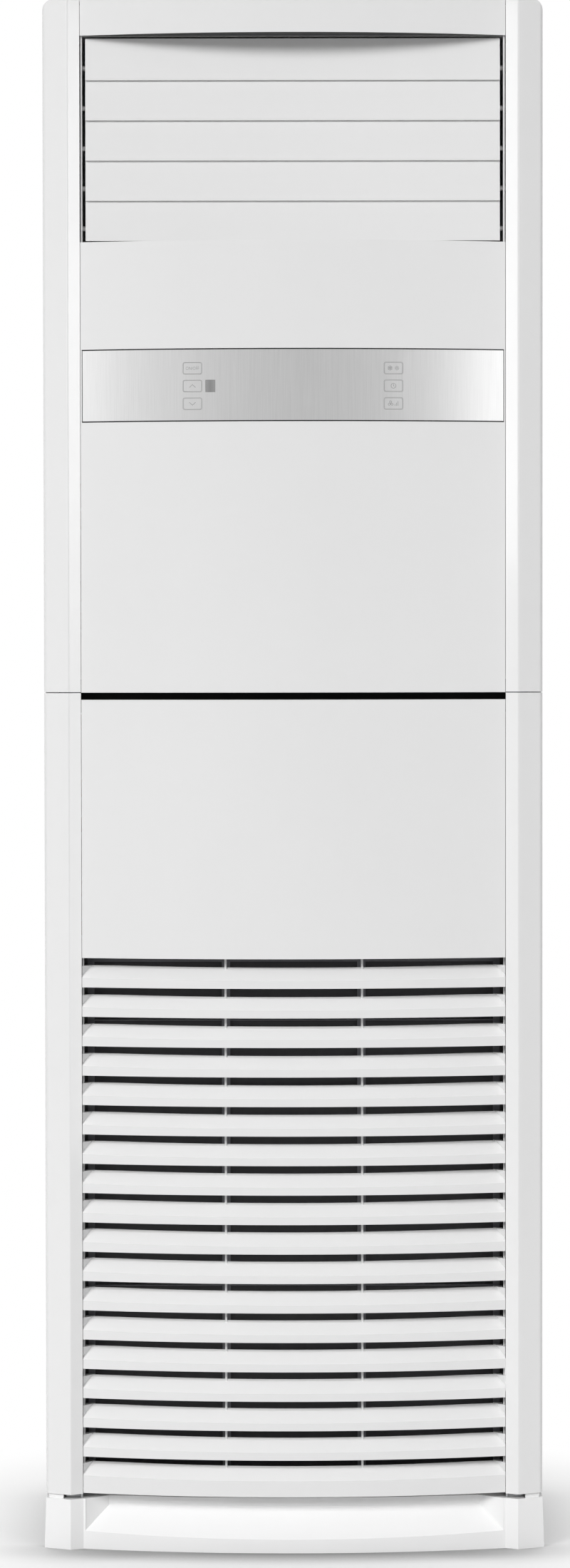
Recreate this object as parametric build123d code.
"""Floor standing air conditioner, 1.85 m tall, as an assembly of separate pieces.

Frame: +Z up, +X to the viewer's right, the bowed front faces -Y.
Origin: centre of the base on the floor. All sizes are millimetres.
"""

import math
import os

from build123d import *

os.makedirs("parts", exist_ok=True)

# ---------------------------------------------------------------- driving dimensions

# Cabinet
CABINET_HEIGHT = 1850.0
CABINET_WIDTH = 596.0
CABINET_DEPTH = 390.0
TOP_EDGE_RADIUS = 14.0
TOP_SKIRT = 28.0
SHEET = 1.2
PLASTIC = 3.0
THIN_PLASTIC = 2.0
PLAY = 0.6
RUNNING_CLEARANCE = 0.05
OPEN_PIVOT_CLEARANCE = 0.3

# Bowed front and the bay behind it
BOW_DEPTH = 30.0
BAY_DEPTH = 49.0
CROSSMEMBER_HEIGHT = 40.0
CROSSMEMBER_SHELF = 18.0

# Corner pillars, beside the front panels
PILLAR_WIDTH = 44.5
PILLAR_GAP = 0.5
PILLAR_WALL = 2.5
PILLAR_DEPTH = 39.0
PILLAR_LIP = 3.5
PILLAR_SEAM = 1.0
RIDGE_OFFSET = 15.0
RIDGE_RISE = 7.0
RIDGE_RADIUS = 2.5
SHOULDER_DROP = 7.0
CORNER_RADIUS = 7.0

# Base
BASE_HEIGHT = 60.3
BASE_FLARE = 2.0
BASE_WALL = 3.0
BASE_RIM = 12.0
KICK_EDGE_HEIGHT = 21.7
KICK_BOW_DEPTH = 25.0
KICK_DEPTH = 27.0
KICK_RISE = 29.0
KICK_MARGIN = 2.5
KICK_SPLAY = 27.5
POST_GAP = 5.5
TENON_OFFSET = 9.0
TENON_HEIGHT = 24.0
TENON_REACH = 27.0
PAN_FOLD = 30.0

# Outlet and its frame
LINTEL_HEIGHT = 44.0
OUTLET_MARGIN = 2.5
FRAME_WALL = 2.0
FRAME_SETBACK = 3.5
FRAME_DEPTH = 46.5

# Horizontal louvre blades
BLADE_COUNT = 5
BLADE_PITCH = 47.6
BLADE_OVERLAP = 2.0
BLADE_LOW_GAP = 1.8
BLADE_TOP_GAP = 2.8
BLADE_END_GAP = 3.9
BLADE_THICKNESS = 2.2
BLADE_SETBACK = 2.0
BLADE_TILT_DEPTH = 3.4
BLADE_EAR = 3.0
BLADE_EAR_RADIUS = 5.0
BLADE_PIVOT_DEPTH = 13.0
BLADE_PIVOT_RISE = 15.6
PIVOT_RADIUS = 3.0
CRANK_RADIUS = 18.0
CRANK_THICKNESS = 3.0
CRANK_PIN_RADIUS = 1.5
LINK_WIDTH = 8.0
LINK_THICKNESS = 2.5
STEPPER_RADIUS = 11.0
STEPPER_LENGTH = 18.0
STEPPER_BORE = 9.0

# Vertical vanes and the duct round them
VANE_COUNT = 5
VANE_SETBACK = 7.0
VANE_DEPTH = 58.0
VANE_PIVOT_DEPTH = 12.0
VANE_LINK_DEPTH = 46.0
VANE_THICKNESS = 2.0
VANE_FLOOR_GAP = 10.0
DUCT_WALL = 2.5
DUCT_FLOOR_DEPTH = 75.0
DUCT_BACK_GAP = 75.0

# Display strip and keys
STRIP_DROP = 129.05
STRIP_HEIGHT = 83.65
STRIP_MARGIN = 2.4
STRIP_THICKNESS = 2.0
STRIP_GAP = 1.5
STRIP_SIDE_GAP = 0.8
CARRIER_MARGIN = 6.0
CARRIER_THICKNESS = 2.0
KEY_X = 119.2
KEY_TOP_DROP = 22.2
KEY_PITCH = 20.95
KEY_WIDTH = 21.6
KEY_HEIGHT = 13.2
KEY_CORNER = 2.0
KEY_GAP = 0.35
KEY_DEPTH = 6.0
KEY_TRAVEL = 1.0
KEY_FLANGE = 1.6
KEY_FLANGE_THICKNESS = 1.2
KEY_STEM_RADIUS = 1.6
SWITCH_SIZE = 6.0
SWITCH_HEIGHT = 3.5
STOP_GAP = 0.4
BOARD_SETBACK = 27.0
BOARD_THICKNESS = 1.6
BOARD_MARGIN = 3.0
POST_OFFSET = 15.5
POST_DROP = 19.0
POST_RADIUS = 3.0
RECEIVER_OFFSET = 21.2
RECEIVER_WIDTH = 11.0
RECEIVER_HEIGHT = 13.8

# Intake panel and its grille
PANEL_FLOOR_GAP = 6.9
PANEL_SEAM = 8.5
PLAIN_HEIGHT = 308.3
SLAT_COUNT = 17
SLAT_PITCH = 35.19
SLAT_LIP = 9.3
SLAT_RISE = 13.9
SLAT_DEPTH = 21.0
SLAT_THICKNESS = 2.0
SLAT_END_LIFT = 2.2
LAST_SLAT_HEIGHT = 43.8
LAST_LIP = 19.0
CHEEK_SPLAY = 13.5
CHEEK_SETBACK = 4.0
SIDE_RETURN_SETBACK = 10.0
RIB_X = 81.5
RIB_WIDTH = 2.5
RIB_OVERLAP = 3.0
RIB_DEPTH = 12.0
PANEL_PIVOT_DEPTH = 7.0
PANEL_PIVOT_RADIUS = 2.5
PIVOT_RIM = 0.9
BRACKET_SHEET = 2.0
BRACKET_FOOT = 20.0
BRACKET_DEPTH = 27.0

# Air filter
FILTER_SETBACK = 37.0
FILTER_THICKNESS = 6.0
FILTER_RISE = 2.8
FILTER_BORDER = 10.0
FILTER_MESH = 0.8
FILTER_PLAY = 1.0
RAIL_LIP = 2.0
RAIL_REACH = 3.0

# Blower
FAN_SIDE_GAP = 138.0
FAN_BLADE_DEPTH = 26.0
FAN_BLADE_COUNT = 40
FAN_BLADE_THICKNESS = 1.2
FAN_FRONT_GAP = 16.0
FAN_BACK_GAP = 12.0
HUB_RADIUS = 22.0
SHAFT_RADIUS = 6.0
SCROLL_SETBACK = 16.0
SCROLL_DEPTH = 196.0
SCROLL_WALL = 2.5
SCROLL_GAP = 20.0
SCROLL_STEP = 15.0
SCROLL_TONGUE_ANGLE = 60.0
SCROLL_FLOOR_GAP = 84.7
SCROLL_THROAT = 278.0
INLET_OVERLAP = 22.0
INLET_LIP = 10.0
MOTOR_RADIUS = 58.0
MOTOR_LENGTH = 68.0
MOTOR_GAP = 6.0
MOUNT_SHEET = 2.5
MOUNT_MARGIN = 12.0

# Coil and drain pan
COIL_MARGIN = 62.0
COIL_THICKNESS = 58.0
COIL_LENGTH = 640.0
COIL_FOOT_RISE = 45.0
COIL_LEAN = 15.0
TUBE_RADIUS = 4.8
TUBE_WALL = 1.0
TUBE_ROWS = 2
TUBES_PER_ROW = 10
FIN_COUNT = 30
FIN_THICKNESS = 2.0
PLATE_THICKNESS = 1.5
PAN_SETBACK = 4.0
PAN_DEPTH = 112.0
PAN_GAP = 37.0
PAN_HEIGHT = 34.0
PAN_WALL = 2.0
DRAIN_RADIUS = 9.0
DRAIN_X = -200.0

# Refrigerant pipes and the openings for them
PORT_GAP = 14.0
PORT_RISE = 90.0
PORT_RADIUS = 30.0
CABLE_HOLE_RADIUS = 14.0
GROMMET_LIP = 4.0
GAS_RADIUS = 7.94
LIQUID_RADIUS = 4.76
PIPE_RISE = 12.0
PIPE_DROP = 14.0
PIPE_SPACING = 28.0
PIPE_BEND = 40.0
STUB_RECESS = 5.0

# Electrical box
BOX_RISE = 26.0
BOX_HEIGHT = 270.0
BOX_MARGIN = 88.0
BOX_SETBACK = 4.0
BOX_DEPTH = 60.0
BOX_WALL = 1.2
STANDOFF = 6.0
RELAY_COUNT = 4
RELAY_PITCH = 34.0
RELAY_SIZE = 18.0
TERMINAL_COUNT = 6
TERMINAL_PITCH = 14.0
TERMINAL_HEIGHT = 24.0

# Feet, wall bracket and screws
FOOT_RADIUS = 19.0
FOOT_HEIGHT = 10.0
FOOT_INSET = 43.0
STUD_RADIUS = 5.0
BRACKET_DROP = 80.0
BRACKET_HEIGHT = 36.0
BRACKET_WIDTH = 260.0
BRACKET_HOLE_SPACING = 200.0
BRACKET_HOLE_RADIUS = 3.5
SIDE_FLANGE = 14.0
SCREW_ROWS = 6
SCREW_END_GAP = 40.0
SCREW_HEAD_RADIUS = 4.0
SCREW_HEAD_HEIGHT = 2.0
SCREW_RADIUS = 2.0
SCREW_LENGTH = 10.0

# ---------------------------------------------------------------- derived places across x

CABINET_HALF_WIDTH = CABINET_WIDTH / 2
BASE_HALF_WIDTH = CABINET_HALF_WIDTH + BASE_FLARE
SIDE_INNER_X = CABINET_HALF_WIDTH - SHEET
PILLAR_INNER_X = CABINET_HALF_WIDTH - PILLAR_WIDTH
PANEL_HALF_WIDTH = PILLAR_INNER_X - PILLAR_GAP
RIDGE_X = PANEL_HALF_WIDTH + RIDGE_OFFSET
OUTLET_HALF_WIDTH = PANEL_HALF_WIDTH - OUTLET_MARGIN
FRAME_OUTER_X = OUTLET_HALF_WIDTH + FRAME_WALL
BLADE_HALF_WIDTH = OUTLET_HALF_WIDTH - BLADE_END_GAP
CRANK_X = FRAME_OUTER_X + PLAY
VANE_PITCH = 2 * OUTLET_HALF_WIDTH / (VANE_COUNT + 1)
VANES_X = [(i - (VANE_COUNT - 1) / 2) * VANE_PITCH for i in range(VANE_COUNT)]
STRIP_HALF_WIDTH = PANEL_HALF_WIDTH - STRIP_MARGIN
FILTER_HALF_WIDTH = PANEL_HALF_WIDTH - THIN_PLASTIC - FILTER_PLAY
CHEEK_BACK_X = PANEL_HALF_WIDTH - CHEEK_SPLAY
COIL_HALF_WIDTH = CABINET_HALF_WIDTH - COIL_MARGIN
FAN_RADIUS = CABINET_HALF_WIDTH - FAN_SIDE_GAP
PORT_X = COIL_HALF_WIDTH + PORT_GAP
BOX_HALF_WIDTH = CABINET_HALF_WIDTH - BOX_MARGIN
FOOT_X = CABINET_HALF_WIDTH - FOOT_INSET
POST_X = KEY_X + POST_OFFSET

# ---------------------------------------------------------------- derived places through y

FRONT_Y = -CABINET_DEPTH / 2
BACK_Y = CABINET_DEPTH / 2
BACK_PANEL_Y = BACK_Y - SCREW_HEAD_HEIGHT
PANEL_EDGE_Y = FRONT_Y + BOW_DEPTH
BOW_RADIUS = (PANEL_HALF_WIDTH**2 + BOW_DEPTH**2) / (2 * BOW_DEPTH)
BOW_CENTRE_Y = FRONT_Y + BOW_RADIUS
RIDGE_Y = PANEL_EDGE_Y - RIDGE_RISE
PILLAR_SIDE_Y = PANEL_EDGE_Y + SHOULDER_DROP
PILLAR_BACK_Y = PANEL_EDGE_Y + PILLAR_DEPTH
BAY_BACK_Y = PANEL_EDGE_Y + BAY_DEPTH
FRAME_FRONT_Y = PANEL_EDGE_Y + FRAME_SETBACK
FRAME_BACK_Y = FRAME_FRONT_Y + FRAME_DEPTH
BLADE_FRONT_Y = PANEL_EDGE_Y + BLADE_SETBACK
BLADE_PIVOT_Y = BLADE_FRONT_Y + BLADE_PIVOT_DEPTH
VANE_FRONT_Y = FRAME_BACK_Y + VANE_SETBACK
VANE_PIVOT_Y = VANE_FRONT_Y + VANE_PIVOT_DEPTH
VANE_LINK_Y = VANE_FRONT_Y + VANE_LINK_DEPTH
DUCT_FLOOR_BACK_Y = FRAME_BACK_Y + DUCT_FLOOR_DEPTH
DUCT_BACK_Y = BACK_Y - DUCT_BACK_GAP
BOARD_Y = FRONT_Y + BOARD_SETBACK
PANEL_PIVOT_Y = PANEL_EDGE_Y + PANEL_PIVOT_DEPTH
FILTER_Y = PANEL_EDGE_Y + FILTER_SETBACK
FILTER_BACK_Y = FILTER_Y + FILTER_THICKNESS
RAIL_BACK_Y = FILTER_BACK_Y + FILTER_PLAY + RAIL_LIP
SCROLL_FRONT_Y = BAY_BACK_Y + SCROLL_SETBACK
SCROLL_BACK_Y = SCROLL_FRONT_Y + SCROLL_DEPTH
FAN_FRONT_Y = SCROLL_FRONT_Y + FAN_FRONT_GAP
FAN_BACK_Y = SCROLL_BACK_Y - FAN_BACK_GAP
MOTOR_FRONT_Y = SCROLL_BACK_Y + MOTOR_GAP
MOTOR_BACK_Y = MOTOR_FRONT_Y + MOTOR_LENGTH
PAN_FRONT_Y = BAY_BACK_Y + PAN_SETBACK
PAN_BACK_Y = PAN_FRONT_Y + PAN_DEPTH
COIL_FOOT_Y = (PAN_FRONT_Y + PAN_BACK_Y) / 2
STUB_END_Y = BACK_Y - STUB_RECESS
BOX_FRONT_Y = BAY_BACK_Y + BOX_SETBACK
BOX_BACK_Y = BOX_FRONT_Y + BOX_DEPTH

# ---------------------------------------------------------------- derived heights

LOWER_PANEL_BOTTOM_Z = BASE_HEIGHT + PANEL_FLOOR_GAP
SLAT_END_RISE = SLAT_RISE + SLAT_END_LIFT
GRILLE_TOP_Z = LOWER_PANEL_BOTTOM_Z + LAST_SLAT_HEIGHT + SLAT_COUNT * SLAT_PITCH
LOWER_PANEL_TOP_Z = GRILLE_TOP_Z + PLAIN_HEIGHT
MIDDLE_PANEL_BOTTOM_Z = LOWER_PANEL_TOP_Z + PANEL_SEAM
SEAM_Z = (LOWER_PANEL_TOP_Z + MIDDLE_PANEL_BOTTOM_Z) / 2
OUTLET_TOP_Z = CABINET_HEIGHT - LINTEL_HEIGHT
BLADE_STACK = BLADE_COUNT * BLADE_PITCH + BLADE_OVERLAP
OUTLET_BOTTOM_Z = OUTLET_TOP_Z - BLADE_TOP_GAP - BLADE_STACK - BLADE_LOW_GAP
FIRST_PIVOT_Z = OUTLET_BOTTOM_Z + BLADE_LOW_GAP + BLADE_PIVOT_RISE
BLADE_PIVOTS_Z = [FIRST_PIVOT_Z + i * BLADE_PITCH for i in range(BLADE_COUNT)]
VANE_BOTTOM_Z = OUTLET_BOTTOM_Z + VANE_FLOOR_GAP
VANE_TOP_Z = OUTLET_TOP_Z - PLAY
STRIP_TOP_Z = OUTLET_BOTTOM_Z - STRIP_DROP
STRIP_BOTTOM_Z = STRIP_TOP_Z - STRIP_HEIGHT
KEY_ROWS_Z = [STRIP_TOP_Z - KEY_TOP_DROP - i * KEY_PITCH for i in range(3)]
RECEIVER_X = -KEY_X + RECEIVER_OFFSET
RECEIVER_Z = KEY_ROWS_Z[1]
FILTER_BOTTOM_Z = LOWER_PANEL_BOTTOM_Z + PLASTIC + FILTER_PLAY
FILTER_TOP_Z = GRILLE_TOP_Z + FILTER_RISE
PANEL_PIVOT_Z = LOWER_PANEL_BOTTOM_Z + PLASTIC
SCROLL_START_RADIUS = FAN_RADIUS + SCROLL_GAP
FAN_AXIS_Z = BASE_HEIGHT + SCROLL_FLOOR_GAP + SCROLL_START_RADIUS + SCROLL_STEP
INLET_RADIUS = FAN_RADIUS - INLET_OVERLAP
SCROLL_OUTLET_Z = FAN_AXIS_Z + SCROLL_THROAT
PAN_BOTTOM_Z = SCROLL_OUTLET_Z + PAN_GAP
DRAIN_Z = PAN_BOTTOM_Z + PAN_WALL + DRAIN_RADIUS
COIL_FOOT_Z = PAN_BOTTOM_Z + COIL_FOOT_RISE
PORT_Z = BASE_HEIGHT + PORT_RISE
BOX_BOTTOM_Z = MIDDLE_PANEL_BOTTOM_Z + BOX_RISE
BOX_TOP_Z = BOX_BOTTOM_Z + BOX_HEIGHT
BRACKET_Z = CABINET_HEIGHT - BRACKET_DROP


# ---------------------------------------------------------------- helpers

def save(node, shape):
    """Write one sub-part under its node name."""
    export_step(shape, f"parts/{node}.step")


def block(x_span, y_span, z_span):
    """A box between the two ends of each span."""
    sizes = [span[1] - span[0] for span in (x_span, y_span, z_span)]
    centre = [(span[0] + span[1]) / 2 for span in (x_span, y_span, z_span)]
    return Pos(*centre) * Box(*sizes)


def rod(start, direction, radius, length):
    """A cylinder from a start point along a direction."""
    stand = (Align.CENTER, Align.CENTER, Align.MIN)
    return Plane(origin=start, z_dir=direction) * Cylinder(radius, length, align=stand)


def column(face, z_from, z_to):
    """A plan face pulled up between two heights."""
    return extrude(Pos(0, 0, z_from) * face, z_to - z_from, dir=(0, 0, 1))


def front_y(x, inset=0.0):
    """Where the bowed front lies at x, moved back along its radius by an inset."""
    return BOW_CENTRE_Y - math.sqrt((BOW_RADIUS - inset) ** 2 - x**2)


def bow(half_width, inset):
    """The bowed front line in plan."""
    edge_y = front_y(half_width, inset)
    return ThreePointArc((-half_width, edge_y), (0, front_y(0, inset)), (half_width, edge_y))


def bowed_face(half_width, inset, depth):
    """Plan of a bowed wall: two concentric arcs cut at the half width."""
    front = bow(half_width, inset)
    back = bow(half_width, inset + depth)
    return make_face([front, Line(front @ 1, back @ 1), back, Line(back @ 0, front @ 0)])


def bowed_wall(half_width, inset, depth, z_from, z_to):
    """A bowed wall between two heights."""
    return column(bowed_face(half_width, inset, depth), z_from, z_to)


def bowed_deck(half_width, inset, back_y, z_from, z_to):
    """A flat shelf with a bowed front edge and a straight back edge."""
    front = bow(half_width, inset)
    corner = (half_width, back_y)
    other = (-half_width, back_y)
    edges = [front, Polyline(front @ 1, corner, other, front @ 0)]
    return column(make_face(edges), z_from, z_to)


def key_prism(x, z, grow, y_span):
    """A rounded rectangle of key size, pulled through a y span."""
    outline = RectangleRounded(KEY_WIDTH + 2 * grow, KEY_HEIGHT + 2 * grow, KEY_CORNER)
    plane = Plane(origin=(x, y_span[0], z), x_dir=(1, 0, 0), z_dir=(0, 1, 0))
    return extrude(plane * outline, y_span[1] - y_span[0])


def both_sides(shape):
    """A shape with its mirror image across the middle plane."""
    return shape + mirror(shape, Plane.YZ)


# ---------------------------------------------------------------- base

def base_outline(half_width, inset=0.0):
    """Plan of the base: bowed front, ridged corners, straight sides and back."""
    front = bow(PANEL_HALF_WIDTH - inset, inset)
    right = [
        front @ 1,
        (RIDGE_X - inset / 2, RIDGE_Y + inset),
        (half_width - inset, PILLAR_SIDE_Y + inset / 2),
        (half_width - inset, BACK_Y - inset),
    ]
    left = [(-point[0], point[1]) for point in right[1:]]
    return make_face([front, Polyline(*right, *left[::-1], front @ 0)])


def make_base_plinth():
    """Moulded skirt on the floor: a sloped kick recess between posts with tenons for the pillars."""
    top_face = Pos(0, 0, BASE_HEIGHT) * base_outline(CABINET_HALF_WIDTH)
    shell = loft([base_outline(BASE_HALF_WIDTH), top_face], ruled=True)
    shell -= kick_recess(0.0)
    hollow = column(base_outline(CABINET_HALF_WIDTH, BASE_WALL), 0, BASE_HEIGHT - BASE_WALL)
    hollow -= kick_recess(BASE_WALL)
    half = CABINET_HALF_WIDTH - BASE_RIM
    opening = block((-half, half), (BAY_BACK_Y, BACK_Y - BASE_RIM), (0, BASE_HEIGHT))
    return shell - hollow - opening + both_sides(make_tenon())


def make_tenon():
    """The right post's tenon, which stands inside the hollow pillar."""
    z_span = (BASE_HEIGHT - BASE_WALL, BASE_HEIGHT + TENON_HEIGHT)
    core = column(offset(pillar_face(), -PILLAR_WALL - PLAY), *z_span)
    reach = block((RIDGE_X + TENON_OFFSET, CABINET_HALF_WIDTH), (FRONT_Y, PANEL_EDGE_Y + TENON_REACH), z_span)
    return core & reach


def kick_recess(grow):
    """Space over the bowed kick slope, grown to leave a wall round it."""
    radius = (PANEL_HALF_WIDTH**2 + KICK_BOW_DEPTH**2) / (2 * KICK_BOW_DEPTH)
    centre_y = PANEL_EDGE_Y - KICK_BOW_DEPTH + radius
    gradient = KICK_RISE / KICK_DEPTH
    reach = 2 * BOW_DEPTH
    drop = grow * math.hypot(1.0, gradient)
    ceiling = BASE_HEIGHT + BASE_WALL
    section = Polyline(
        (radius - KICK_DEPTH - grow, KICK_EDGE_HEIGHT + KICK_RISE - drop + gradient * grow),
        (radius - KICK_DEPTH - grow, ceiling),
        (radius + reach, ceiling),
        (radius + reach, KICK_EDGE_HEIGHT - gradient * reach - drop),
        close=True,
    )
    axis = Axis((0, centre_y, 0), (0, 0, 1))
    start = Plane(origin=(0, centre_y, 0), x_dir=(0, -1, 0), z_dir=(-1, 0, 0))
    half_turn = math.degrees(math.asin(BASE_HALF_WIDTH / radius))
    bowl = revolve(start * make_face(section), axis=axis, revolution_arc=2 * half_turn)
    bowl = bowl.rotate(axis, -half_turn)
    front_half = PANEL_HALF_WIDTH - KICK_MARGIN + grow
    back_half = front_half - KICK_SPLAY
    back_y = front_y(back_half) + KICK_DEPTH
    plan = Polyline(
        (-front_half, FRONT_Y - BOW_DEPTH),
        (front_half, FRONT_Y - BOW_DEPTH),
        (front_half, PANEL_EDGE_Y),
        (back_half, back_y),
        (-back_half, back_y),
        (-front_half, PANEL_EDGE_Y),
        close=True,
    )
    return bowl & column(make_face(plan), -BASE_HEIGHT, 2 * BASE_HEIGHT)


def make_base_pan():
    """Steel floor of the cabinet, folded down at its edges, with stud holes."""
    half = CABINET_HALF_WIDTH - BASE_RIM - PLAY
    y_span = (BAY_BACK_Y + PLAY, BACK_Y - BASE_RIM - PLAY)
    fold = BASE_HEIGHT - PAN_FOLD
    pan = block((-half, half), y_span, (fold, BASE_HEIGHT))
    inner = block(
        (-half + SHEET, half - SHEET),
        (y_span[0] + SHEET, y_span[1] - SHEET),
        (fold, BASE_HEIGHT - SHEET),
    )
    pan -= inner
    for x, y in foot_places():
        pan -= rod((x, y, fold), (0, 0, 1), STUD_RADIUS, BASE_HEIGHT)
    return pan


def foot_places():
    """Plan positions of the four feet."""
    back = BACK_Y - FOOT_INSET
    front = BAY_BACK_Y + FOOT_INSET / 2
    return [(x, y) for x in (-FOOT_X, FOOT_X) for y in (front, back)]


def make_feet():
    """Four levelling feet: a pad and a stud up through the base pan."""
    feet = Part()
    for x, y in foot_places():
        feet += rod((x, y, 0), (0, 0, 1), FOOT_RADIUS, FOOT_HEIGHT)
        feet += rod((x, y, 0), (0, 0, 1), STUD_RADIUS, BASE_HEIGHT + FOOT_HEIGHT)
    return feet


# ---------------------------------------------------------------- cabinet shell

def envelope(inset):
    """Front view of the cabinet, rounded at its two top edges, pulled through its depth."""
    outline = RectangleRounded(
        2 * (CABINET_HALF_WIDTH - inset), 2 * (CABINET_HEIGHT - inset), TOP_EDGE_RADIUS - inset
    )
    return extrude(Plane.XZ * outline, 2 * BACK_Y, both=True)


def pillar_face():
    """Plan of the right corner pillar: bright inner facet, ridge and outer facet."""
    corners = Polyline(
        (PILLAR_INNER_X, PILLAR_BACK_Y),
        (PILLAR_INNER_X, PANEL_EDGE_Y),
        (RIDGE_X, RIDGE_Y),
        (CABINET_HALF_WIDTH, PILLAR_SIDE_Y),
        (CABINET_HALF_WIDTH, PILLAR_BACK_Y),
        close=True,
    )
    face = make_face(corners)
    ridge = face.vertices().sort_by(Axis.Y)[0]
    face = fillet(ridge, RIDGE_RADIUS)
    corner = min(face.vertices(), key=lambda v: abs(v.X - CABINET_HALF_WIDTH) + abs(v.Y - PILLAR_SIDE_Y))
    return fillet(corner, CORNER_RADIUS)


def make_pillar(z_from, z_to):
    """The right pillar between two heights, hollow and open at the back and below."""
    body = column(pillar_face(), z_from, z_to)
    lip_y = PANEL_EDGE_Y + PILLAR_LIP
    inner_x = PILLAR_INNER_X - PILLAR_WALL
    outer_x = CABINET_HALF_WIDTH - PILLAR_WALL
    hollow = column(offset(pillar_face(), -PILLAR_WALL), z_from, z_to)
    hollow += block((inner_x, RIDGE_X), (lip_y, PILLAR_BACK_Y + PILLAR_WALL), (z_from, z_to))
    open_y = (PILLAR_BACK_Y - 2 * PILLAR_WALL, PILLAR_BACK_Y + PILLAR_WALL)
    hollow += block((RIDGE_X, outer_x), open_y, (z_from, z_to))
    return body - (hollow & envelope(PILLAR_WALL))


def make_side_panel():
    """The right steel side, with flanges folded in at the front and the back."""
    z_span = (BASE_HEIGHT, CABINET_HEIGHT - TOP_SKIRT)
    flange = (SIDE_INNER_X - SIDE_FLANGE, SIDE_INNER_X)
    panel = block((SIDE_INNER_X, CABINET_HALF_WIDTH), (PILLAR_BACK_Y, BACK_Y), z_span)
    panel += block(flange, (PILLAR_BACK_Y, PILLAR_BACK_Y + SHEET), z_span)
    panel += block(flange, (BACK_PANEL_Y - 2 * SHEET, BACK_PANEL_Y - SHEET), z_span)
    for place in screw_places():
        if place[0] > 0:
            panel -= rod((place[0], 0, place[1]), (0, 1, 0), SCREW_RADIUS, BACK_Y)
    return panel


def screw_places():
    """Where the back panel's screws go, as x and z."""
    x = SIDE_INNER_X - SIDE_FLANGE / 2
    first = BASE_HEIGHT + SCREW_END_GAP
    last = CABINET_HEIGHT - TOP_SKIRT - SCREW_END_GAP
    heights = [first + i * (last - first) / (SCREW_ROWS - 1) for i in range(SCREW_ROWS)]
    return [(side * x, z) for side in (-1, 1) for z in heights]


def make_screws():
    """Pan head screws along both edges of the back panel."""
    screws = Part()
    for x, z in screw_places():
        screws += rod((x, BACK_PANEL_Y, z), (0, 1, 0), SCREW_HEAD_RADIUS, SCREW_HEAD_HEIGHT)
        screws += rod((x, BACK_PANEL_Y, z), (0, -1, 0), SCREW_RADIUS, SCREW_LENGTH)
    return screws


def make_back_panel():
    """Steel back with the pipe opening, a drain hole, a cable hole and bracket holes."""
    y_span = (BACK_PANEL_Y - SHEET, BACK_PANEL_Y)
    z_span = (BASE_HEIGHT, CABINET_HEIGHT - TOP_SKIRT)
    panel = block((-SIDE_INNER_X + PLAY, SIDE_INNER_X - PLAY), y_span, z_span)
    for x, z in screw_places():
        panel -= rod((x, 0, z), (0, 1, 0), SCREW_RADIUS, BACK_Y)
    panel -= rod((PORT_X, 0, PORT_Z), (0, 1, 0), PORT_RADIUS, BACK_Y)
    panel -= rod((DRAIN_X, 0, DRAIN_Z), (0, 1, 0), 2 * DRAIN_RADIUS, BACK_Y)
    panel -= rod((-PORT_X, 0, PORT_Z), (0, 1, 0), CABLE_HOLE_RADIUS, BACK_Y)
    for side in (-1, 1):
        x = side * BRACKET_HOLE_SPACING / 2
        panel -= rod((x, 0, BRACKET_Z), (0, 1, 0), BRACKET_HOLE_RADIUS, BACK_Y)
    return panel


def make_cable_grommet():
    """Rubber ring in the cable hole, grooved over the sheet."""
    y_mid = BACK_PANEL_Y - SHEET / 2
    half = SCREW_HEAD_HEIGHT + SHEET / 2
    centre = (-PORT_X, y_mid - half, PORT_Z)
    ring = rod(centre, (0, 1, 0), CABLE_HOLE_RADIUS + GROMMET_LIP, 2 * half)
    ring -= rod(centre, (0, 1, 0), CABLE_HOLE_RADIUS - GROMMET_LIP, 2 * half)
    groove_start = (-PORT_X, BACK_PANEL_Y - SHEET, PORT_Z)
    groove = rod(groove_start, (0, 1, 0), CABLE_HOLE_RADIUS + GROMMET_LIP, SHEET)
    groove -= rod(groove_start, (0, 1, 0), CABLE_HOLE_RADIUS, SHEET)
    return ring - groove


def make_wall_bracket():
    """Flat steel strap on the back, with two holes for wall screws."""
    z_span = (BRACKET_Z - BRACKET_HEIGHT / 2, BRACKET_Z + BRACKET_HEIGHT / 2)
    strap = block((-BRACKET_WIDTH / 2, BRACKET_WIDTH / 2), (BACK_PANEL_Y, BACK_Y), z_span)
    for side in (-1, 1):
        x = side * BRACKET_HOLE_SPACING / 2
        strap -= rod((x, 0, BRACKET_Z), (0, 1, 0), BRACKET_HOLE_RADIUS, BACK_Y)
    return strap


def make_top_cover():
    """Moulded lid behind the front: rounded side edges and a skirt at the back."""
    z_span = (CABINET_HEIGHT - TOP_SKIRT, CABINET_HEIGHT)
    wide = (-CABINET_HALF_WIDTH, CABINET_HALF_WIDTH)
    lid = block(wide, (PILLAR_BACK_Y, BACK_Y), z_span) & envelope(0.0)
    room = block(wide, (PILLAR_BACK_Y, BACK_PANEL_Y), z_span) & envelope(PLASTIC)
    return lid - room


def make_lintel_panel():
    """Bowed strip over the outlet, with its top and bottom returns."""
    panel = bowed_wall(PANEL_HALF_WIDTH, 0, PLASTIC, OUTLET_TOP_Z, CABINET_HEIGHT)
    panel += bowed_deck(PANEL_HALF_WIDTH, 0, PILLAR_BACK_Y, CABINET_HEIGHT - PLASTIC, CABINET_HEIGHT)
    panel += bowed_deck(PANEL_HALF_WIDTH, 0, FRAME_FRONT_Y, OUTLET_TOP_Z, OUTLET_TOP_Z + FRAME_WALL)
    return panel


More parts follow.
